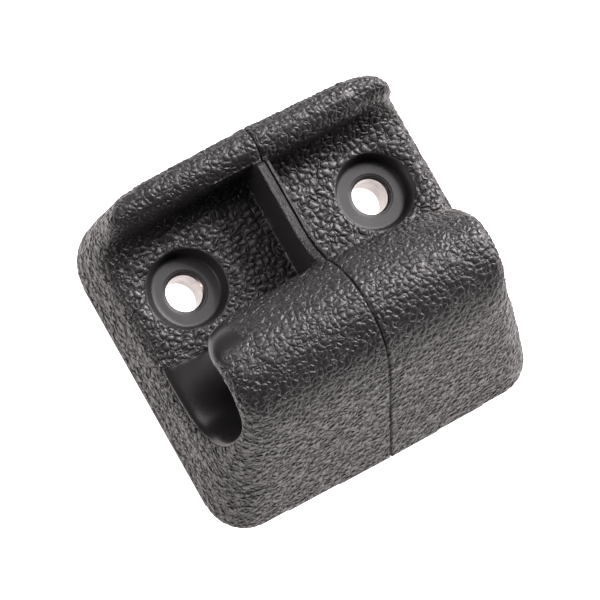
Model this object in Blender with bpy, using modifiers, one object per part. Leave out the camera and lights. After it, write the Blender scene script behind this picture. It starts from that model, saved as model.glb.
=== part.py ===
"""Hook-shaped cleat in black moulded plastic: two handed halves butted at mid length,
each with a steel compression sleeve for its fixing bolt.

X runs along the horn, Y from the horn to the back lip, Z up from the mounting face.
The origin is on the mounting face, midway between the two fixing bolts.
"""

import math

import bmesh
import bpy
from mathutils import Vector

MM = 0.001

# Overall size, millimetres
HALF_LENGTH = 32.4  # bolt mid-plane to the foot of an end face
SEAM_X = 0.9  # the seam lies this far to the right of the bolt mid-plane
FRONT_Y = -41.4  # foot of the sloping front face
BACK_Y = 19.6  # foot of the back face
END_LEAN = 0.19  # inward run of an end face for each unit of height
FRONT_LEAN = 0.50  # the same for the front face
BACK_LEAN = 0.03  # the same for the back face
FRONT_CORNER = 7.5  # radius of the two upright front corners, at the mounting face
BACK_CORNER = 9.5  # the same for the back corners
FRONT_CORNER_SHRINK = 0.06  # loss of front corner radius for each unit of height
BACK_CORNER_SHRINK = 0.18
SIDE_DRAFT = 0.02  # narrowing of the section for each unit away from the seam

# Horn: a hook wrapped round a straight rope channel
CHANNEL_RADIUS = 8.1
CHANNEL_Y = -18.7
HORN_WALL = 3.6
TIP_ANGLE = 24.0  # how far above level the tip ends at the seam, degrees
TIP_RETREAT = 0.25  # degrees more for each unit away from the seam
TIP_CORNER = 7.5  # radius that rounds the tip off at each end, seen from above
TIP_STATIONS = 5
HORN_END_ANGLE = 150.0  # where the round of the horn has met the front face, degrees

# Valley and lip
FLOOR_Z = 10.7
FLOOR_STEP = 0.35  # the channel bottom lies this far below the valley floor
LIP_TOP_Z = 21.0
LIP_THICKNESS = 7.5
LIP_FOOT_RADIUS = 4.0
WEB_TOP_Z = 20.4  # top of the end walls between lip and horn
WEB_HOLLOW = 0.3  # share of its rise that the end wall's top has made half way to the tip
LEFT_END_WALL = 1.7  # wall that closes the left half at the seam
RIGHT_END_WALL = 0.8  # thinner wall that closes the right half against it

# Fixings
BOLT_PITCH = 38.0
BOLT_BORE = 6.5
SLEEVE_WALL = 0.8
RECESS_RADIUS = 6.25  # flat seat for the washer
RECESS_DEPTH = 3.2
RECESS_DRAFT = 0.25
COVER = 0.5  # plastic left over the sleeve's upper end
COVER_GAP = 0.15  # the cover's bore stands clear of the sleeve's by this

# Gaps and fineness
SEAM_GAP = 0.3
FIT_GAP = 0.3
ARC_STEP = 7.5  # degrees in an arc
ROUND_SIDES = 48
PLAN_SIDES = 6  # facets in an upright corner
EDGE_RADIUS = 3.2  # rim of each end face
EDGE_SEGMENTS = 4
RIM_ANGLE = 35.0  # edges sharper than this are part of an end face's rim
OVERRUN = 8.0  # how far a cutter runs past what it cuts

PLASTIC = (0.014, 0.014, 0.015)
STEEL = (0.62, 0.60, 0.59)

HORN_STEPS = round((HORN_END_ANGLE - TIP_ANGLE) / ARC_STEP)
CHANNEL_STEPS = round((270 - TIP_ANGLE) / ARC_STEP)
CHANNEL_Z = FLOOR_Z - FLOOR_STEP + CHANNEL_RADIUS
HORN_RADIUS = CHANNEL_RADIUS + HORN_WALL
HORN_TOP_Z = CHANNEL_Z + HORN_RADIUS
SEAT_Z = FLOOR_Z - RECESS_DEPTH
SLEEVE_RADIUS = BOLT_BORE / 2 + SLEEVE_WALL
SLEEVE_LENGTH = SEAT_Z - COVER - FIT_GAP


def clear_scene():
    for obj in list(bpy.data.objects):
        bpy.data.objects.remove(obj, do_unlink=True)


def new_collection(name, hidden=False):
    collection = bpy.data.collections.new(name)
    bpy.context.scene.collection.children.link(collection)
    collection.hide_render = hidden
    return collection


def new_material(name, colour, roughness, metallic):
    material = bpy.data.materials.new(name)
    material.use_nodes = True
    shader = material.node_tree.nodes["Principled BSDF"]
    shader.inputs["Base Color"].default_value = (*colour, 1.0)
    shader.inputs["Roughness"].default_value = roughness
    shader.inputs["Metallic"].default_value = metallic
    return material


def arc(centre, radius, start, end, steps=0):
    """Points (y, z) round a centre from one angle to another, in degrees."""
    steps = steps or max(1, math.ceil(abs(end - start) / ARC_STEP))
    angles = [math.radians(start + (end - start) * i / steps) for i in range(steps + 1)]
    return [(centre[0] + radius * math.cos(a), centre[1] + radius * math.sin(a)) for a in angles]


def tip_angle(run):
    """Where the tip ends, at a distance from the bolt mid-plane: straight, with its draft."""
    return math.radians(TIP_ANGLE + TIP_RETREAT * run)


def tip_end():
    """Distance from the bolt mid-plane to the end face, level with the tip."""
    return HALF_LENGTH - END_LEAN * polar(HORN_RADIUS, tip_angle(HALF_LENGTH))[1]


def rounded_tip_angle(run):
    """The same as tip_angle, with the tip's corner rounded off towards the end face."""
    past = min(max(run - (tip_end() - TIP_CORNER), 0.0), TIP_CORNER)
    cut = TIP_CORNER - math.sqrt(TIP_CORNER ** 2 - past ** 2)
    return tip_angle(run) + cut / (CHANNEL_RADIUS + HORN_WALL / 2)


def void_stations(end_wall, side):
    """Distances from the bolt mid-plane at which the void is shaped, closer round the tip's corner."""
    corner = [tip_end() - TIP_CORNER * math.cos(math.pi / 2 * i / TIP_STATIONS)
              for i in range(TIP_STATIONS + 1)]
    return [side * SEAM_X + end_wall] + corner + [HALF_LENGTH + OVERRUN]


def polar(radius, angle):
    return CHANNEL_Y + radius * math.cos(angle), CHANNEL_Z + radius * math.sin(angle)


def full_section(run):
    """Outline at a distance from the seam, with the end wall filling the valley."""
    draft = SIDE_DRAFT * run
    horn = HORN_RADIUS - draft
    lip_top = LIP_TOP_Z - draft
    lip_round = LIP_THICKNESS / 2 - draft / 2
    lip_centre = (BACK_Y - LIP_THICKNESS / 2, lip_top - lip_round)
    web_top = WEB_TOP_Z - draft
    tip_y, tip_z = polar(horn, tip_angle(run))
    rise = tip_z - web_top
    outline = [(FRONT_Y - OVERRUN, -OVERRUN), (BACK_Y + OVERRUN, -OVERRUN)]
    outline += [(BACK_Y + OVERRUN, lip_centre[1]), (lip_centre[0] + lip_round, lip_centre[1])]
    outline += arc(lip_centre, lip_round, 0, 150)[1:]
    outline += [(lip_centre[0] - lip_round, web_top), (tip_y + 2 * rise, web_top)]
    outline += [(tip_y + rise, web_top + WEB_HOLLOW * rise)]
    centre = (CHANNEL_Y, CHANNEL_Z)
    outline += arc(centre, horn, math.degrees(tip_angle(run)), HORN_END_ANGLE, HORN_STEPS)
    last = outline[-1]
    outline.append((last[0] - 2 * OVERRUN, last[1] - 2 * OVERRUN))
    return outline


def void_section(run):
    """Outline of what is open between a half's end wall and its outer end: valley and channel."""
    draft = SIDE_DRAFT * run
    channel = CHANNEL_RADIUS + draft / 2
    wall = HORN_WALL - 1.5 * draft
    floor = FLOOR_Z - draft
    lip_round = LIP_THICKNESS / 2 - draft / 2
    lip_centre = (BACK_Y - LIP_THICKNESS / 2, LIP_TOP_Z - draft - lip_round)
    foot = (lip_centre[0] - lip_round - LIP_FOOT_RADIUS, floor + LIP_FOOT_RADIUS)
    angle = rounded_tip_angle(run)
    level = math.degrees(angle)
    above = HORN_TOP_Z + OVERRUN
    outline = [(lip_centre[0] - lip_round / 2, above)]
    outline += arc(lip_centre, lip_round, 120, 180)
    outline += arc(foot, LIP_FOOT_RADIUS, 0, -90)
    outline += [(CHANNEL_Y + CHANNEL_RADIUS, floor), (CHANNEL_Y + CHANNEL_RADIUS, floor - FLOOR_STEP)]
    outline += arc((CHANNEL_Y, CHANNEL_Z), channel, -90, level - 360, CHANNEL_STEPS)
    outline += arc(polar(channel + wall / 2, angle), wall / 2, level - 170, level - 10)
    outline += [polar(channel + wall + OVERRUN, angle), (CHANNEL_Y, above)]
    return outline


def loft(name, outline_at, side, stations, collection):
    """A solid through the outlines at some distances from the bolt mid-plane."""
    build = bmesh.new()
    rings = []
    for run in stations:
        rings.append([build.verts.new((side * run * MM, y * MM, z * MM)) for y, z in outline_at(run)])
    build.faces.new(rings[0])
    build.faces.new(rings[-1])
    for near, far in zip(rings, rings[1:]):
        for i, vert in enumerate(near):
            after = (i + 1) % len(near)
            build.faces.new((vert, near[after], far[after], far[i]))
    return as_object(name, build, collection)


def as_object(name, build, collection):
    """The finished bmesh as an object, with its faces pointing outwards."""
    mesh = bpy.data.meshes.new(name)
    bmesh.ops.recalc_face_normals(build, faces=build.faces)
    build.to_mesh(mesh)
    build.free()
    obj = bpy.data.objects.new(name, mesh)
    collection.objects.link(obj)
    return obj


def rounded_plan(z, side):
    """Plan outline of one half at height z: square at the seam, round at its outer corners."""
    reach = HALF_LENGTH - END_LEAN * z
    front = FRONT_Y + FRONT_LEAN * z
    back = BACK_Y - BACK_LEAN * z
    low = FRONT_CORNER - FRONT_CORNER_SHRINK * z
    high = BACK_CORNER - BACK_CORNER_SHRINK * z
    seam = side * SEAM_X + SEAM_GAP / 2
    points = [(seam, back), (seam, front)]
    points += plan_arc(reach - low, front + low + SIDE_DRAFT * (reach - low), low, -90)
    points += plan_arc(reach - high, back - high - SIDE_DRAFT * (reach - high), high, 0)
    return [Vector((side * x * MM, y * MM, z * MM)) for x, y in points]


def plan_arc(centre_x, centre_y, radius, first):
    angles = [math.radians(first + 90 * i / PLAN_SIDES) for i in range(PLAN_SIDES + 1)]
    return [(centre_x + radius * math.cos(a), centre_y + radius * math.sin(a)) for a in angles]


def envelope(name, side, collection):
    """Front, back and end faces of one half, with their lean and rounded corners."""
    build = bmesh.new()
    low = [build.verts.new(p) for p in rounded_plan(0.0, side)]
    high = [build.verts.new(p) for p in rounded_plan(HORN_TOP_Z + 2.0, side)]
    build.faces.new(low)
    build.faces.new(high)
    for i, vert in enumerate(low):
        after = (i + 1) % len(low)
        build.faces.new((vert, low[after], high[after], high[i]))
    return as_object(name, build, collection)


def turned(name, profile, centre_x, collection):
    """A profile (radius, z) turned about an upright axis on the bolt line."""
    mesh = bpy.data.meshes.new(name)
    build = bmesh.new()
    verts = [build.verts.new((radius * MM, 0.0, z * MM)) for radius, z in profile]
    for first, second in zip(verts, verts[1:]):
        build.edges.new((first, second))
    build.to_mesh(mesh)
    build.free()
    obj = bpy.data.objects.new(name, mesh)
    obj.location = (centre_x * MM, 0.0, 0.0)
    collection.objects.link(obj)
    screw = obj.modifiers.new("turn", "SCREW")
    screw.steps = screw.render_steps = ROUND_SIDES
    screw.use_merge_vertices = True
    screw.merge_threshold = 0.00001
    return obj


def as_cutter(obj):
    obj.hide_render = True
    obj.display_type = "WIRE"
    return obj


def boolean(obj, operation, other):
    modifier = obj.modifiers.new(operation.lower(), "BOOLEAN")
    modifier.operation = operation
    modifier.object = other


def bolt_hole(name, centre_x, collection):
    """Washer recess, cover bore and sleeve housing as one turned cutter."""
    cover = BOLT_BORE / 2 + COVER_GAP
    housing = SLEEVE_RADIUS + FIT_GAP
    top = SEAT_Z + OVERRUN
    flare = RECESS_RADIUS + RECESS_DRAFT * OVERRUN
    profile = [(0.0, top), (flare, top), (RECESS_RADIUS, SEAT_Z), (cover, SEAT_Z)]
    profile += [(cover, SEAT_Z - COVER), (housing, SEAT_Z - COVER), (housing, -OVERRUN), (0.0, -OVERRUN)]
    return as_cutter(turned(name, profile, centre_x, collection))


def cut_block(name, side, parts, cutters):
    """The envelope cut to the section, with the rim of its end face rounded."""
    block = envelope(name, side, parts)
    stations = (side * SEAM_X - OVERRUN, HALF_LENGTH + OVERRUN)
    section = loft(name + "_section", full_section, side, stations, cutters)
    boolean(block, "INTERSECT", as_cutter(section))
    bpy.context.view_layer.update()
    graph = bpy.context.evaluated_depsgraph_get()
    mesh = bpy.data.meshes.new_from_object(block.evaluated_get(graph))
    block.modifiers.clear()
    build = bmesh.new()
    build.from_mesh(mesh)
    bmesh.ops.bevel(build, geom=rim_edges(build), offset=EDGE_RADIUS * MM, offset_type="OFFSET",
                    segments=EDGE_SEGMENTS, profile=0.5, affect="EDGES", clamp_overlap=True)
    build.to_mesh(mesh)
    build.free()
    block.data = mesh
    return block


def rim_edges(build):
    """Edges between the section's own surface and an end face or a rounded corner."""
    edges = []
    for edge in build.edges:
        above_base = min(v.co.z for v in edge.verts) > MM
        off_seam = min(abs(v.co.x) for v in edge.verts) > (SEAM_X + LEFT_END_WALL) * MM
        if above_base and off_seam and edge.calc_face_angle(0.0) > math.radians(RIM_ANGLE):
            edges.append(edge)
    return edges


def half_moulding(name, side, end_wall, material, parts, cutters):
    body = cut_block(name, side, parts, cutters)
    void = loft(name + "_void", void_section, side, void_stations(end_wall, side), cutters)
    boolean(body, "DIFFERENCE", as_cutter(void))
    hole = bolt_hole(name + "_bolt_hole", side * BOLT_PITCH / 2, cutters)
    boolean(body, "DIFFERENCE", hole)
    body.data.materials.append(material)
    return body


def sleeve(name, centre_x, material, parts):
    inner = BOLT_BORE / 2
    outer = SLEEVE_RADIUS
    break_edge = 0.2
    profile = [(outer - break_edge, SLEEVE_LENGTH), (outer, SLEEVE_LENGTH - break_edge)]
    profile += [(outer, break_edge), (outer - break_edge, 0.0), (inner + break_edge, 0.0)]
    profile += [(inner, break_edge), (inner, SLEEVE_LENGTH - break_edge)]
    profile += [(inner + break_edge, SLEEVE_LENGTH), (outer - break_edge, SLEEVE_LENGTH)]
    obj = turned(name, profile, centre_x, parts)
    obj.data.materials.append(material)
    return obj


def main():
    clear_scene()
    parts = new_collection("rope_hook_cleat")
    cutters = new_collection("cutters", hidden=True)
    plastic = new_material("black_moulded_plastic", PLASTIC, 0.5, 0.0)
    steel = new_material("plated_steel", STEEL, 0.3, 1.0)
    for hand, side, end_wall in (("left", -1, LEFT_END_WALL), ("right", 1, RIGHT_END_WALL)):
        half_moulding(f"{hand}_moulding", side, end_wall, plastic, parts, cutters)
        sleeve(f"{hand}_sleeve", side * BOLT_PITCH / 2, steel, parts)


main()
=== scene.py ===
"""Finished surface of the rope hook cleat: two black moulded halves with a leather grain, and the
turned steel sleeves of their bolt holes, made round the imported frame.

Everything is in metres in the frame's own axes: X along the horn, Y from the horn to the back lip,
Z up from the mounting face. MM turns the millimetres used below into metres.
"""

import math

import bmesh
import bpy
import numpy as np
from mathutils import Matrix, Vector

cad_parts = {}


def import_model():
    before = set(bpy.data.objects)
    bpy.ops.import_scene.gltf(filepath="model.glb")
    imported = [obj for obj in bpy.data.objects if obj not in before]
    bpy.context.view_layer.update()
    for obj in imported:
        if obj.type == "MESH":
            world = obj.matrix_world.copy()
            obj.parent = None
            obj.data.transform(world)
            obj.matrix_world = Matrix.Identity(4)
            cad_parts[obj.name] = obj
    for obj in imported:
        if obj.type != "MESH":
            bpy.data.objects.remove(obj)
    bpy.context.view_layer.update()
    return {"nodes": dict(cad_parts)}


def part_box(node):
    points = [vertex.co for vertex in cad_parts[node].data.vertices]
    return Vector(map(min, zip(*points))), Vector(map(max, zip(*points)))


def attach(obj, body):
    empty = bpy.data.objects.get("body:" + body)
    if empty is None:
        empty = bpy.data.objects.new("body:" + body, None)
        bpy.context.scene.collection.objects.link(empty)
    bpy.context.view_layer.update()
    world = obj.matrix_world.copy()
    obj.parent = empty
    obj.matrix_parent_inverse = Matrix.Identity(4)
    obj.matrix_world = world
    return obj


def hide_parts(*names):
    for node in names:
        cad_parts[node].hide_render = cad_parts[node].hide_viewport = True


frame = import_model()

bl_info = {
    "name": "Rope Hook Cleat",
    "version": (1, 0, 0),
    "blender": (4, 5, 0),
    "location": "3D View > Sidebar > Cleat",
    "description": "Grained mouldings, turned sleeves and a studio for a hook-shaped rope cleat",
    "category": "Object",
}

MM = 0.001

# Where the frame holds the features that the surface treatment works round, millimetres
CHANNEL_Y = -18.7
CHANNEL_Z = 18.45
CHANNEL_RADIUS = 8.1
FLOOR_Z = 10.7
SEAM_X = 0.9
SEAM_LINE = 0.01  # what is left between the butted faces, less than the clearance of the solids
BOLT_X = 19.0
BORE_RADIUS = 3.25
SLEEVE_CHAMFER = 0.25
COVER_RADIUS = 3.4
HOUSING_RADIUS = 4.35
RECESS_RADIUS = 6.25
RECESS_DRAFT = 0.25
SEAT_Z = 7.5
RING_RADIUS = 3.9  # faint ring round each bore, on the seat
SIDE_DRAFT = 0.02  # growth of the channel's diameter for each millimetre out from the middle
END_X = 32.4  # foot of an end face, which leans in with its height
END_LEAN = 0.19
WEB_X = 0.45  # middle of the two end walls that meet at the seam
WEB_REACH = 1.45  # half of what they span, with a little of the floor each side
WEB_FRONT_Y = -7.0  # where their top begins to rise to the horn
LIP_FACE_Y = 12.1

# Softening and grain, millimetres
TRUE_REACH = 0.22  # a point this near a round wall belongs to it
SKIN = 0.6  # a point this near the channel may lie on its wall
RIM_START = -9.0  # rims are softened from here, along X from the end face
RIM_FULL = -4.5
SEAM_EDGE = 1.0  # the butted edges' softening reaches this far from the seam
FEWEST_FACES = 1000  # a moulding with fewer has come out wrong

# The camera's place in metres, and which ways are right and up in its view
VIEW_FROM = (-0.2140, -0.0794, 0.6584)
VIEW_RIGHT = (0.84172, -0.49202, 0.22232)
VIEW_UP = (0.44312, 0.86479, 0.23619)

LAMP_STRENGTH = 2.4  # of the light behind the floor, enough to show it plain white


def linear(hex_colour):
    """An sRGB hex colour as linear red, green, blue and full opacity."""
    channels = [int(hex_colour[i:i + 2], 16) / 255 for i in (1, 3, 5)]
    return (*[c / 12.92 if c <= 0.04045 else ((c + 0.055) / 1.055) ** 2.4 for c in channels], 1.0)


def add(tree, kind, settings=None, inputs=None):
    """One node with its settings; each input is a value or the socket that feeds it."""
    node = tree.nodes.new(kind)
    for key, value in (settings or {}).items():
        setattr(node, key, value)
    for key, value in (inputs or {}).items():
        if isinstance(value, bpy.types.NodeSocket):
            tree.links.new(value, node.inputs[key])
        else:
            node.inputs[key].default_value = value
    return node


# Sizes and colours


class CleatSizes(bpy.types.PropertyGroup):
    voxel: bpy.props.FloatProperty(
        name="Mesh Fineness", description="Edge length of the mouldings' fine mesh",
        default=0.2 * MM, min=0.12 * MM, max=1.0 * MM, precision=5, unit="LENGTH")
    rim_rounding: bpy.props.FloatProperty(
        name="Rim Rounding", description="How far the outer rims are softened",
        default=1.9 * MM, min=0.0, max=3.0 * MM, precision=5, unit="LENGTH")
    edge_rounding: bpy.props.FloatProperty(
        name="Edge Rounding", description="How far every other edge is softened",
        default=0.2 * MM, min=0.0, max=1.0 * MM, precision=5, unit="LENGTH")
    grain_cell: bpy.props.FloatProperty(
        name="Grain Cell", description="Mean width of one pebble of the leather grain",
        default=1.05 * MM, min=0.5 * MM, max=5.0 * MM, precision=5, unit="LENGTH")
    broad_cell: bpy.props.FloatProperty(
        name="Broad Grain Cell", description="Mean width of one pebble on the valley floor",
        default=1.2 * MM, min=0.5 * MM, max=5.0 * MM, precision=5, unit="LENGTH")
    grain_depth: bpy.props.FloatProperty(
        name="Grain Depth", description="Height of the pebbles over their creases, outside",
        default=0.28 * MM, min=0.0, max=0.6 * MM, precision=5, unit="LENGTH")
    crease_width: bpy.props.FloatProperty(
        name="Crease Width", description="Width of the slope from a crease's bottom to a pebble",
        default=0.25 * MM, min=0.05 * MM, max=1.0 * MM, precision=5, unit="LENGTH")
    sleeve_sides: bpy.props.IntProperty(
        name="Sleeve Sides", description="Facets round a sleeve", default=128, min=24, max=256)
    most_triangles: bpy.props.IntProperty(
        name="Triangles", description="Most triangles in one moulding",
        default=190000, min=20000, max=199000)


class CleatColours(bpy.types.PropertyGroup):
    plastic: bpy.props.FloatVectorProperty(
        name="Plastic", description="Black moulded plastic", subtype="COLOR", size=4,
        min=0.0, max=1.0, default=linear("#1f1d1f"))
    steel: bpy.props.FloatVectorProperty(
        name="Steel", description="Plated steel of the sleeves", subtype="COLOR", size=4,
        min=0.0, max=1.0, default=linear("#8c8583"))
    floor: bpy.props.FloatVectorProperty(
        name="Floor", description="Opal floor, apart from the light behind it", subtype="COLOR", size=4,
        min=0.0, max=1.0, default=linear("#959595"))


# Materials


def new_material(name):
    """An empty node material: its tree, its shader and its output, already linked."""
    material = bpy.data.materials.new(name)
    material.use_nodes = True
    tree = material.node_tree
    tree.nodes.clear()
    shader = add(tree, "ShaderNodeBsdfPrincipled")
    output = add(tree, "ShaderNodeOutputMaterial", None, {"Surface": shader.outputs["BSDF"]})
    output.is_active_output = True
    return material, tree, shader


def pebbles(tree, position, cell, width):
    """Height of one leather grain, from 0 in a crease to 1 on a pebble's crest."""
    warp = add(tree, "ShaderNodeTexNoise", None,
               {"Vector": position, "Scale": 0.9 / cell, "Detail": 1.0, "Roughness": 0.5})
    centred = add(tree, "ShaderNodeVectorMath", {"operation": "SUBTRACT"},
                  {0: warp.outputs["Color"], 1: (0.5, 0.5, 0.5)})
    # the warp bends the cells' straight sides by up to about half a cell
    moved = add(tree, "ShaderNodeVectorMath", {"operation": "MULTIPLY_ADD"},
                {0: centred.outputs["Vector"], 1: (0.9 * cell,) * 3, 2: position})
    edges = add(tree, "ShaderNodeTexVoronoi", {"feature": "DISTANCE_TO_EDGE"},
                {"Vector": moved.outputs["Vector"], "Scale": 1.0 / cell, "Randomness": 1.0})
    slope = add(tree, "ShaderNodeMapRange", {"interpolation_type": "SMOOTHSTEP"},
                {"Value": edges.outputs["Distance"], "From Min": 0.0, "From Max": width / cell})
    centres = add(tree, "ShaderNodeTexVoronoi", {"feature": "F1"},
                  {"Vector": moved.outputs["Vector"], "Scale": 1.0 / cell, "Randomness": 1.0})
    dome = add(tree, "ShaderNodeMapRange", {"interpolation_type": "SMOOTHSTEP"},
               {"Value": centres.outputs["Distance"], "From Min": 0.0, "From Max": 0.8,
                "To Min": 1.0, "To Max": 0.0})
    # creases grow faint along their length, so that pebbles run together into short worms
    fade = add(tree, "ShaderNodeMapRange", None,
               {"Value": warp.outputs["Fac"], "From Min": 0.38, "From Max": 0.56,
                "To Min": 0.3, "To Max": 1.0})
    # height = 1 - fade * (1 - slope)
    cut = add(tree, "ShaderNodeMath", {"operation": "MULTIPLY_ADD"},
              {0: slope.outputs[0], 1: fade.outputs[0], 2: 1.0})
    sunk = add(tree, "ShaderNodeMath", {"operation": "SUBTRACT"}, {0: cut.outputs[0], 1: fade.outputs[0]})
    # mostly flat crests, a little domed
    return add(tree, "ShaderNodeMix", {"data_type": "FLOAT"},
               {"Factor": 0.12, 2: sunk.outputs[0], 3: dome.outputs[0]}).outputs[0]


def leather(tree, position, coarse, sizes, width):
    """Grain of the horn, lip and outer faces, blended to the broader pebbles of the valley floor."""
    fine = pebbles(tree, position, sizes.grain_cell, width)
    broad = pebbles(tree, position, sizes.broad_cell, width)
    return add(tree, "ShaderNodeMix", {"data_type": "FLOAT"},
               {"Factor": coarse, 2: fine, 3: broad}).outputs[0]


def grained_plastic(sizes, colours):
    """Black glass-filled nylon, moulded in an etched tool: satin pebbles with dull creases darkened by
    painted shade, a glossier plain skin where the tool was polished, and a duller one on the washer seats."""
    material, tree, shader = new_material("black_grained_nylon")
    place = add(tree, "ShaderNodeTexCoord").outputs["Object"]
    grain = add(tree, "ShaderNodeAttribute", {"attribute_name": "grain"}).outputs["Fac"]
    coarse = add(tree, "ShaderNodeAttribute", {"attribute_name": "coarse"}).outputs["Fac"]
    drawn = add(tree, "ShaderNodeAttribute", {"attribute_name": "drawn"}).outputs["Fac"]
    polished = add(tree, "ShaderNodeAttribute", {"attribute_name": "polished"}).outputs["Fac"]
    seat = add(tree, "ShaderNodeAttribute", {"attribute_name": "seat"}).outputs["Fac"]
    height = leather(tree, place, coarse, sizes, sizes.crease_width)
    # fine tooth of the etched steel, 0.35 mm across, which is coarser than a real one so that it shows
    tooth = add(tree, "ShaderNodeTexNoise", None,
                {"Vector": place, "Scale": 1 / (0.35 * MM), "Detail": 2.0, "Roughness": 0.5})
    # slow drift of the gloss, about 12 mm across
    drift = add(tree, "ShaderNodeTexNoise", None,
                {"Vector": place, "Scale": 1 / (12 * MM), "Detail": 3.0, "Roughness": 0.6})
    # scratches along Y on the flat tops of the webs, about 0.3 mm apart and 4 mm long
    along = add(tree, "ShaderNodeVectorMath", {"operation": "MULTIPLY"}, {0: place, 1: (1.0, 0.07, 1.0)})
    scratches = add(tree, "ShaderNodeTexNoise", None,
                    {"Vector": along.outputs[0], "Scale": 1 / (0.3 * MM), "Detail": 3.0, "Roughness": 0.7})
    # a faint ring, stepped 0.08 mm, round the bore in each seat; X is mirrored, so one serves both
    mirrored = add(tree, "ShaderNodeVectorMath", {"operation": "ABSOLUTE"}, {0: place})
    centred = add(tree, "ShaderNodeVectorMath", {"operation": "SUBTRACT"},
                  {0: mirrored.outputs[0], 1: (BOLT_X * MM, 0.0, 0.0)})
    flattened = add(tree, "ShaderNodeVectorMath", {"operation": "MULTIPLY"},
                    {0: centred.outputs[0], 1: (1.0, 1.0, 0.0)})
    radius = add(tree, "ShaderNodeVectorMath", {"operation": "LENGTH"}, {0: flattened.outputs[0]})
    ring = add(tree, "ShaderNodeMapRange", {"interpolation_type": "SMOOTHSTEP"},
               {"Value": radius.outputs["Value"], "From Min": (RING_RADIUS - 0.15) * MM,
                "From Max": (RING_RADIUS + 0.15) * MM})
    relief = add(tree, "ShaderNodeMath", {"operation": "MULTIPLY"}, {0: height, 1: grain})
    crease_bump = add(tree, "ShaderNodeBump", None,
                      {"Height": relief.outputs[0], "Strength": 1.0, "Distance": 0.3 * MM})
    tooth_bump = add(tree, "ShaderNodeBump", None,
                     {"Height": tooth.outputs["Fac"], "Strength": 0.5, "Distance": 0.02 * MM,
                      "Normal": crease_bump.outputs["Normal"]})
    scratch_height = add(tree, "ShaderNodeMath", {"operation": "MULTIPLY"},
                         {0: scratches.outputs["Fac"], 1: drawn})
    scratch_bump = add(tree, "ShaderNodeBump", None,
                       {"Height": scratch_height.outputs[0], "Strength": 1.0, "Distance": 0.6 * MM,
                        "Normal": tooth_bump.outputs["Normal"]})
    ring_bump = add(tree, "ShaderNodeBump", None,
                    {"Height": ring.outputs["Result"], "Strength": 1.0, "Distance": 0.08 * MM,
                     "Normal": scratch_bump.outputs["Normal"]})
    # painted shade: the base colour falls to 0.4 of the plastic's in the creases, standing in for their
    # shadow
    painted_crease_shade = tuple(0.4 * c for c in colours.plastic[:3]) + (1.0,)
    flat = add(tree, "ShaderNodeMath", {"operation": "SUBTRACT"}, {0: 1.0, 1: grain})
    lit = add(tree, "ShaderNodeMath", {"operation": "MAXIMUM"}, {0: height, 1: flat.outputs[0]})
    tone = add(tree, "ShaderNodeMix", {"data_type": "RGBA"},
               {"Factor": lit.outputs[0], 6: painted_crease_shade, 7: tuple(colours.plastic)})
    gloss = add(tree, "ShaderNodeMapRange", None,
                {"Value": drift.outputs["Fac"], "From Min": 0.3, "From Max": 0.7,
                 "To Min": 0.34, "To Max": 0.42})
    creased = add(tree, "ShaderNodeMix", {"data_type": "FLOAT"},
                  {"Factor": lit.outputs[0], 2: 0.62, 3: gloss.outputs["Result"]})
    buffed = add(tree, "ShaderNodeMix", {"data_type": "FLOAT"},
                 {"Factor": polished, 2: creased.outputs[0], 3: 0.31})
    matte = add(tree, "ShaderNodeMix", {"data_type": "FLOAT"},
                {"Factor": seat, 2: buffed.outputs[0], 3: 0.52})
    rough = add(tree, "ShaderNodeMix", {"data_type": "FLOAT"},
                {"Factor": drawn, 2: matte.outputs[0], 3: 0.48})
    tree.links.new(tone.outputs[2], shader.inputs["Base Color"])
    tree.links.new(rough.outputs[0], shader.inputs["Roughness"])
    tree.links.new(ring_bump.outputs["Normal"], shader.inputs["Normal"])
    shader.inputs["IOR"].default_value = 1.53
    return material


def plated_steel(colours):
    """Zinc-plated free-cutting steel, turned and reamed: satin grey, a little mottled by the
    plating, with faint rings from the tool."""
    material, tree, shader = new_material("zinc_plated_steel")
    place = add(tree, "ShaderNodeTexCoord").outputs["Object"]
    # patches of plating, about 1.8 mm across
    mottle = add(tree, "ShaderNodeTexNoise", None,
                 {"Vector": place, "Scale": 1 / (1.8 * MM), "Detail": 4.0, "Roughness": 0.65})
    # rings from the tool, 0.2 mm apart up the bore
    stretched = add(tree, "ShaderNodeMapping", None,
                    {"Vector": place, "Scale": (0.1, 0.1, 1.0)})
    rings = add(tree, "ShaderNodeTexNoise", None,
                {"Vector": stretched.outputs["Vector"], "Scale": 1 / (0.2 * MM), "Detail": 1.0})
    dull = tuple(0.62 * c for c in colours.steel[:3]) + (1.0,)
    tone = add(tree, "ShaderNodeMix", {"data_type": "RGBA"},
               {"Factor": mottle.outputs["Fac"], 6: dull, 7: tuple(colours.steel)})
    rough = add(tree, "ShaderNodeMapRange", None,
                {"Value": mottle.outputs["Fac"], "From Min": 0.3, "From Max": 0.7,
                 "To Min": 0.42, "To Max": 0.3})
    bump = add(tree, "ShaderNodeBump", None,
               {"Height": rings.outputs["Fac"], "Strength": 0.4, "Distance": 0.02 * MM})
    tree.links.new(tone.outputs[2], shader.inputs["Base Color"])
    tree.links.new(rough.outputs["Result"], shader.inputs["Roughness"])
    tree.links.new(bump.outputs["Normal"], shader.inputs["Normal"])
    shader.inputs["Metallic"].default_value = 1.0
    return material


def studio_floor(colours):
    """Opal acrylic over lamps, as on a light table: dull and even, and white with the lamps on."""
    material, tree, shader = new_material("opal_acrylic")
    place = add(tree, "ShaderNodeTexCoord").outputs["Object"]
    tooth = add(tree, "ShaderNodeTexNoise", None, {"Vector": place, "Scale": 1 / (4 * MM)})
    bump = add(tree, "ShaderNodeBump", None,
               {"Height": tooth.outputs["Fac"], "Strength": 0.1, "Distance": 0.05 * MM})
    tree.links.new(bump.outputs["Normal"], shader.inputs["Normal"])
    shader.inputs["Base Color"].default_value = tuple(colours.floor)
    shader.inputs["Roughness"].default_value = 0.85
    shader.inputs["Emission Color"].default_value = linear("#fff8f6")
    shader.inputs["Emission Strength"].default_value = LAMP_STRENGTH
    return material


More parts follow.
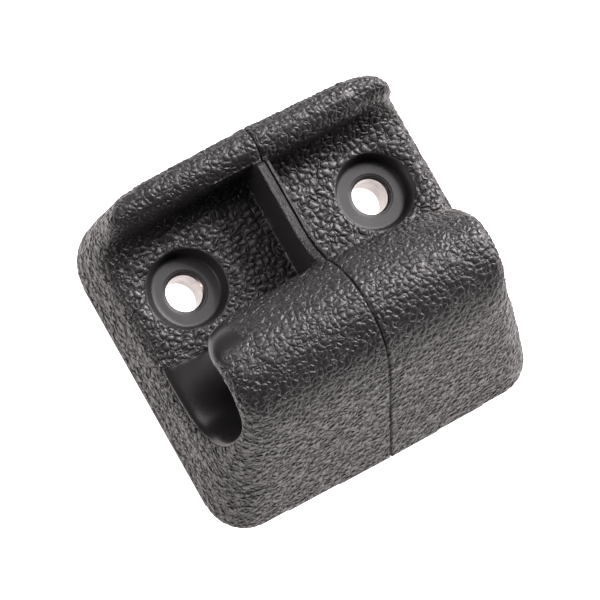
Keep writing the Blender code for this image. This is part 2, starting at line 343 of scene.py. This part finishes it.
# Fine mesh of a moulding


def step(low, high, values):
    """0 below low, 1 above high, smooth between."""
    share = np.clip((values - low) / (high - low), 0.0, 1.0)
    return share * share * (3 - 2 * share)


def new_object(name, mesh):
    obj = bpy.data.objects.new(name, mesh)
    bpy.context.scene.collection.objects.link(obj)
    return obj


def evaluated_mesh(obj):
    """The object's mesh as its modifiers leave it, with the modifiers taken off."""
    bpy.context.view_layer.update()
    graph = bpy.context.evaluated_depsgraph_get()
    mesh = bpy.data.meshes.new_from_object(obj.evaluated_get(graph))
    obj.modifiers.clear()
    obj.data = mesh
    return mesh


def merged_copy(node, name):
    """A copy of a frame node's mesh with its loose triangles joined."""
    build = bmesh.new()
    build.from_mesh(frame["nodes"][node].data)
    bmesh.ops.remove_doubles(build, verts=build.verts, dist=0.001 * MM)
    mesh = bpy.data.meshes.new(name)
    build.to_mesh(mesh)
    build.free()
    return new_object(name, mesh)


def read(mesh, kind):
    """The places or the normals of a mesh's points, as rows of X, Y and Z."""
    values = np.empty(len(mesh.vertices) * 3, np.float32)
    if kind == "normal":
        mesh.vertex_normals.foreach_get("vector", values)
    else:
        mesh.vertices.foreach_get("co", values)
    return values.reshape(-1, 3).astype(float)


def store(mesh, name, values):
    """Keeps one value for each point under a name that nodes and materials can read."""
    attribute = mesh.attributes.new(name, "FLOAT", "POINT")
    attribute.data.foreach_set("value", values.astype(np.float32))


def true_up(points, normals, centre, radius, keep, axes):
    """Moves the points of a hollow round wall onto its exact radius. Axes are the two across it."""
    across = points[:, axes] - centre
    distance = np.linalg.norm(across, axis=1)
    outward = across / distance[:, None]
    hollow = (outward * normals[:, axes]).sum(1) < -0.75
    chosen = hollow & (abs(distance - radius) < TRUE_REACH) & keep
    target = centre + outward * np.broadcast_to(radius, distance.shape)[:, None]
    points[np.ix_(chosen, axes)] = target[chosen]


def moulded_regions(points, normals, side):
    """Which points lie on the channel's wall, its flat bed and the end walls at the seam."""
    x, y, z = points.T
    from_axis = np.hypot(y - CHANNEL_Y, z - CHANNEL_Z)
    channel = from_axis - CHANNEL_RADIUS - SIDE_DRAFT * side * x / 2
    inward = ((CHANNEL_Y - y) * normals[:, 1] + (CHANNEL_Z - z) * normals[:, 2]) / from_axis
    wall = (channel < SKIN) & (inward > 0.6)
    bed = (y < CHANNEL_Y + CHANNEL_RADIUS + 0.1) & (y > CHANNEL_Y - 1) & (z < FLOOR_Z)
    bed &= normals[:, 2] > 0.6
    between = (y > WEB_FRONT_Y) & (y < LIP_FACE_Y - 0.1)
    under_tip = (z < CHANNEL_Z + 1) & (y > CHANNEL_Y + 6)
    web = (abs(x - WEB_X) < WEB_REACH) & (z > FLOOR_Z - 0.1) & (between | under_tip)
    # what stands inside the channel's round is end wall too
    web |= channel < -0.3
    web &= (normals[:, 2] < 0.7) | (z > FLOOR_Z + 1)
    return channel, wall, bed, web


def surface_fields(points, normals, side):
    """What each point carries, by name, from 0 to 1. Points are in millimetres."""
    x, y, z = points.T
    channel, wall, bed, web = moulded_regions(points, normals, side)
    end = side * x - (END_X - END_LEAN * z)
    from_seam = abs(x - SEAM_X)
    # the hook's nose is polished smooth where it turns the corner to the left end
    nose = step(-8.0, -5.5, end) * step(6.0, 4.0, channel) * step(CHANNEL_Y + 2, CHANNEL_Y + 5, y)
    nose *= step(CHANNEL_Z - 1, CHANNEL_Z + 1, z) * (side < 0)
    # the recess and its seat
    recess = np.hypot(x - side * BOLT_X, y) - RECESS_RADIUS - RECESS_DRAFT * (z - SEAT_Z)
    seat = np.where((z > SEAT_Z - 0.5) & (z < FLOOR_Z + 0.5), step(0.5, 0.1, recess), 0.0)
    rim = step(RIM_START, RIM_FULL, end) * step(7.0, 12.0, z)
    # the horn's round runs into the front face without a line
    shoulder = step(CHANNEL_Y - 6, CHANNEL_Y - 9, y) * step(8.0, 11.0, z) * step(29.0, 25.0, z)
    shoulder *= step(1.5, 4.0, from_seam) * step(2.0, 3.0, channel)
    # the butted edges are sharp down the front and eased on top
    eased = 1 - step(SEAM_EDGE, SEAM_EDGE / 2, from_seam) * step(CHANNEL_Y - 8, CHANNEL_Y - 11, y)
    valley = step(CHANNEL_Y + 8, CHANNEL_Y + 9, y) * step(17.0, 13.0, z)
    lip_face = (y > CHANNEL_Y + 8) & (normals[:, 1] < -0.2)
    outside = step(0.8, 0.1, normals[:, 2]) * np.where(lip_face, 0, 1)
    # the mounting face, the seam's edges and the smooth regions carry no grain; the rest is
    # shallow where ropes and hands rub and deepest on the outer faces
    grain = np.where(bed | web | wall, 0.0, 1.0) * step(0.1, 0.7, z) * (1 - nose)
    grain *= step(0.0, 0.25, from_seam) * (1 - seat)
    grain *= 0.36 + 0.64 * np.maximum(0.25 * valley, outside)
    return {"rim": np.maximum(rim, shoulder), "eased": eased, "grain": grain, "coarse": valley,
            "drawn": np.where(web & (normals[:, 2] > 0.5), 1.0, 0.0),
            "polished": np.where(bed | wall, 1.0, nose), "seat": seat}


def surface_tree(sizes, material):
    """Softens the rims and edges, then cuts the grain in along the surface's own normals."""
    tree = bpy.data.node_groups.new("Moulded Skin", "GeometryNodeTree")
    face = tree.interface
    face.new_socket("Geometry", in_out="INPUT", socket_type="NodeSocketGeometry")
    for name in ("Rim Passes", "Edge Passes"):
        face.new_socket(name, in_out="INPUT", socket_type="NodeSocketInt")
    face.new_socket("Grain Depth", in_out="INPUT", socket_type="NodeSocketFloat")
    face.new_socket("Geometry", in_out="OUTPUT", socket_type="NodeSocketGeometry")
    start = add(tree, "NodeGroupInput").outputs
    rim = add(tree, "GeometryNodeInputNamedAttribute", {"data_type": "FLOAT"}, {"Name": "rim"})
    ease = add(tree, "GeometryNodeInputNamedAttribute", {"data_type": "FLOAT"}, {"Name": "eased"})
    grain = add(tree, "GeometryNodeInputNamedAttribute", {"data_type": "FLOAT"}, {"Name": "grain"})
    coarse = add(tree, "GeometryNodeInputNamedAttribute", {"data_type": "FLOAT"}, {"Name": "coarse"})
    where = add(tree, "GeometryNodeInputPosition").outputs[0]
    soft = add(tree, "GeometryNodeBlurAttribute", {"data_type": "FLOAT_VECTOR"},
               {"Value": where, "Iterations": start["Rim Passes"], "Weight": rim.outputs[0]})
    rounded = add(tree, "GeometryNodeSetPosition", None,
                  {"Geometry": start["Geometry"], "Position": soft.outputs[0]})
    where = add(tree, "GeometryNodeInputPosition").outputs[0]
    eased = add(tree, "GeometryNodeBlurAttribute", {"data_type": "FLOAT_VECTOR"},
                {"Value": where, "Iterations": start["Edge Passes"], "Weight": ease.outputs[0]})
    smooth = add(tree, "GeometryNodeSetPosition", None,
                 {"Geometry": rounded.outputs[0], "Position": eased.outputs[0]})
    where = add(tree, "GeometryNodeInputPosition").outputs[0]
    # the mesh holds the wide part of a crease, and the material narrows it to its real width
    height = leather(tree, where, coarse.outputs[0], sizes, 1.6 * sizes.crease_width)
    # the crest of a pebble keeps the moulded size and its creases are cut in, so nothing grows
    sunk = add(tree, "ShaderNodeMath", {"operation": "SUBTRACT"}, {0: height, 1: 1.0})
    amount = add(tree, "ShaderNodeMath", {"operation": "MULTIPLY"},
                 {0: sunk.outputs[0], 1: grain.outputs[0]})
    depth = add(tree, "ShaderNodeMath", {"operation": "MULTIPLY"},
                {0: amount.outputs[0], 1: start["Grain Depth"]})
    normal = add(tree, "GeometryNodeInputNormal").outputs[0]
    offset = add(tree, "ShaderNodeVectorMath", {"operation": "SCALE"},
                 {0: normal, "Scale": depth.outputs[0]})
    grained = add(tree, "GeometryNodeSetPosition", None,
                  {"Geometry": smooth.outputs[0], "Offset": offset.outputs[0]})
    shaded = add(tree, "GeometryNodeSetShadeSmooth", None, {"Geometry": grained.outputs[0]})
    real = add(tree, "GeometryNodeRealizeInstances", None, {0: shaded.outputs[0]})
    dressed = add(tree, "GeometryNodeSetMaterial", None,
                  {"Geometry": real.outputs[0], "Material": material})
    add(tree, "NodeGroupOutput", None, {"Geometry": dressed.outputs[0]})
    return tree


def set_input(modifier, name, value):
    """Sets a Geometry Nodes modifier's input by its socket's identifier."""
    for item in modifier.node_group.interface.items_tree:
        if item.item_type == "SOCKET" and item.in_out == "INPUT" and item.name == name:
            modifier[item.identifier] = value
            return
    raise KeyError(f"the tree has no input named {name}")


def passes(sizes, blur):
    """Blur passes that spread a point over a distance on the fine mesh, where each pass spreads
    the square of the distance by 0.4 voxel squared."""
    return max(1, round(blur ** 2 / (0.4 * sizes.voxel ** 2)))


def moulding(hand, side, sizes, material):
    """One half: the frame's moulding on a fine mesh, with its round walls trued up and its skin."""
    node = f"{hand}_moulding"
    piece = merged_copy(node, f"{hand}_moulded_half")
    remesh = piece.modifiers.new("fine", "REMESH")
    remesh.mode = "VOXEL"
    remesh.voxel_size = sizes.voxel
    remesh.use_smooth_shade = True
    mesh = evaluated_mesh(piece)
    points, normals = read(mesh, "place") / MM, read(mesh, "normal")
    run = side * points[:, 0]
    # the channel's bed runs on flat behind the lowest point of its round
    round_part = (points[:, 1] < CHANNEL_Y) | (points[:, 2] > CHANNEL_Z)
    true_up(points, normals, np.array((CHANNEL_Y, CHANNEL_Z)),
            CHANNEL_RADIUS + SIDE_DRAFT * run / 2, round_part, [1, 2])
    bolt = np.array((side * BOLT_X, 0.0))
    recess = RECESS_RADIUS + RECESS_DRAFT * (points[:, 2] - SEAT_Z)
    true_up(points, normals, bolt, recess, points[:, 2] > SEAT_Z, [0, 1])
    for radius in (COVER_RADIUS, HOUSING_RADIUS):
        true_up(points, normals, bolt, radius, points[:, 2] < SEAT_Z, [0, 1])
    # the butted faces are drawn together
    seam = (abs(points[:, 0] - SEAM_X) < 0.3) & (abs(normals[:, 0]) > 0.9)
    points[seam, 0] = SEAM_X + side * SEAM_LINE / 2
    mesh.vertices.foreach_set("co", (points * MM).astype(np.float32).ravel())
    mesh.update()
    for name, values in surface_fields(points, normals, side).items():
        store(mesh, name, values)
    skin = piece.modifiers.new("skin", "NODES")
    skin.node_group = surface_tree(sizes, material)
    set_input(skin, "Rim Passes", passes(sizes, sizes.rim_rounding))
    set_input(skin, "Edge Passes", passes(sizes, sizes.edge_rounding))
    set_input(skin, "Grain Depth", sizes.grain_depth)
    triangles = 2 * len(mesh.polygons)
    thin = piece.modifiers.new("thin", "DECIMATE")
    thin.ratio = min(1.0, sizes.most_triangles / triangles)
    evaluated_mesh(piece)
    if len(piece.data.polygons) < FEWEST_FACES:
        raise RuntimeError(f"{piece.name} lost its mesh")
    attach(piece, "root")
    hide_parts(node)


# Sleeves


def sleeve(hand, side, sizes, material):
    """The frame's sleeve turned again, with finer sides and a small chamfer on its rims."""
    node = f"{hand}_sleeve"
    low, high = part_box(node)
    outer, inner = (high.x - low.x) / 2, BORE_RADIUS * MM
    top, foot = high.z, low.z
    cut = SLEEVE_CHAMFER * MM
    # radius and height of each corner, down the outside and up the bore
    profile = [(outer - cut, top), (outer, top - cut), (outer, foot + cut), (outer - cut, foot),
               (inner + cut, foot), (inner, foot + cut), (inner, top - cut), (inner + cut, top)]
    build = bmesh.new()
    rings = []
    for i in range(sizes.sleeve_sides):
        angle = 2 * math.pi * i / sizes.sleeve_sides
        rings.append([build.verts.new((side * BOLT_X * MM + r * math.cos(angle), r * math.sin(angle), h))
                      for r, h in profile])
    for near, far in zip(rings, rings[1:] + rings[:1]):
        for i, vert in enumerate(near):
            after = (i + 1) % len(near)
            build.faces.new((vert, near[after], far[after], far[i]))
    bmesh.ops.recalc_face_normals(build, faces=build.faces)
    mesh = bpy.data.meshes.new(f"{hand}_turned_sleeve")
    build.to_mesh(mesh)
    build.free()
    mesh.shade_smooth()
    mesh.set_sharp_from_angle(angle=math.radians(30))
    mesh.materials.append(material)
    piece = new_object(f"{hand}_turned_sleeve", mesh)
    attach(piece, "root")
    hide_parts(node)


# Studio


def area_light(name, azimuth, elevation, distance, size, power, colour):
    """A softbox facing the object from a compass angle round it and a height above the horizon."""
    light = bpy.data.lights.new(name, "AREA")
    light.shape = "RECTANGLE"
    light.size, light.size_y = size
    light.energy = power
    light.color = linear(colour)[:3]
    obj = bpy.data.objects.new(name, light)
    around, up = math.radians(azimuth), math.radians(elevation)
    back = Vector((math.cos(around) * math.cos(up), math.sin(around) * math.cos(up), math.sin(up)))
    obj.location = back * distance
    obj.rotation_mode = "QUATERNION"
    obj.rotation_quaternion = (-back).to_track_quat("-Z", "Y")
    bpy.context.scene.collection.objects.link(obj)


def camera():
    data = bpy.data.cameras.new("camera")
    data.lens = 240.0
    data.sensor_width = 36.0
    data.clip_start, data.clip_end = 0.05, 20.0
    obj = bpy.data.objects.new("camera", data)
    right, up = Vector(VIEW_RIGHT), Vector(VIEW_UP)
    turn = Matrix((right, up, right.cross(up))).transposed().to_4x4()
    obj.matrix_world = Matrix.Translation(VIEW_FROM) @ turn
    bpy.context.scene.collection.objects.link(obj)
    bpy.context.scene.camera = obj


def floor(colours):
    build = bmesh.new()
    bmesh.ops.create_grid(build, x_segments=1, y_segments=1, size=3.0)
    mesh = bpy.data.meshes.new("floor")
    build.to_mesh(mesh)
    build.free()
    obj = new_object("floor", mesh)
    obj.location.z = -0.05 * MM
    mesh.materials.append(studio_floor(colours))


def world():
    """A plain room, dim and white."""
    scene_world = bpy.data.worlds.new("room")
    bpy.context.scene.world = scene_world
    scene_world.use_nodes = True
    tree = scene_world.node_tree
    tree.nodes.clear()
    shade = add(tree, "ShaderNodeBackground", None, {"Color": linear("#ffffff"), "Strength": 0.08})
    add(tree, "ShaderNodeOutputWorld", None, {"Surface": shade.outputs[0]})


# Operators, panel and registration


class CLEAT_OT_stage(bpy.types.Operator):
    """Make the floor, the room, the softboxes and the camera"""
    bl_idname = "cleat.stage"
    bl_label = "Studio"

    def execute(self, context):
        floor(context.scene.cleat_colours)
        world()
        area_light("key_softbox", 22, 42, 1.2, (0.45, 0.45), 24, "#fffafb")
        area_light("back_softbox", 70, 60, 1.2, (0.8, 0.6), 5.0, "#fff8fd")
        area_light("left_softbox", 170, 24, 1.2, (0.35, 0.3), 6, "#fff6f2")
        area_light("right_softbox", -4, 24, 1.2, (0.35, 0.3), 7, "#fff6f2")
        context.scene.view_settings.view_transform = "Standard"
        camera()
        return {"FINISHED"}


class CLEAT_OT_mouldings(bpy.types.Operator):
    """Make the fine grained surface of the two moulded halves"""
    bl_idname = "cleat.mouldings"
    bl_label = "Moulded Halves"

    def execute(self, context):
        sizes, colours = context.scene.cleat_sizes, context.scene.cleat_colours
        material = grained_plastic(sizes, colours)
        for hand, side in (("left", -1), ("right", 1)):
            moulding(hand, side, sizes, material)
        return {"FINISHED"}


class CLEAT_OT_sleeves(bpy.types.Operator):
    """Make the turned steel sleeves of the bolt holes"""
    bl_idname = "cleat.sleeves"
    bl_label = "Bolt Sleeves"

    def execute(self, context):
        sizes = context.scene.cleat_sizes
        material = plated_steel(context.scene.cleat_colours)
        for hand, side in (("left", -1), ("right", 1)):
            sleeve(hand, side, sizes, material)
        return {"FINISHED"}


class CLEAT_PT_panel(bpy.types.Panel):
    """Sizes, colours and steps of the cleat"""
    bl_idname = "CLEAT_PT_panel"
    bl_label = "Rope Hook Cleat"
    bl_space_type = "VIEW_3D"
    bl_region_type = "UI"
    bl_category = "Cleat"

    def draw(self, context):
        for group in (context.scene.cleat_sizes, context.scene.cleat_colours):
            for name in group.__annotations__:
                self.layout.prop(group, name)
        for step_class in STEPS:
            self.layout.operator(step_class.bl_idname)


STEPS = (CLEAT_OT_mouldings, CLEAT_OT_sleeves, CLEAT_OT_stage)
CLASSES = (CleatSizes, CleatColours, *STEPS, CLEAT_PT_panel)


def register():
    for each in CLASSES:
        bpy.utils.register_class(each)
    bpy.types.Scene.cleat_sizes = bpy.props.PointerProperty(type=CleatSizes)
    bpy.types.Scene.cleat_colours = bpy.props.PointerProperty(type=CleatColours)


def unregister():
    del bpy.types.Scene.cleat_sizes
    del bpy.types.Scene.cleat_colours
    for each in reversed(CLASSES):
        bpy.utils.unregister_class(each)


def main():
    register()
    bpy.ops.cleat.mouldings()
    bpy.ops.cleat.sleeves()
    bpy.ops.cleat.stage()


if __name__ == "__main__":
    main()
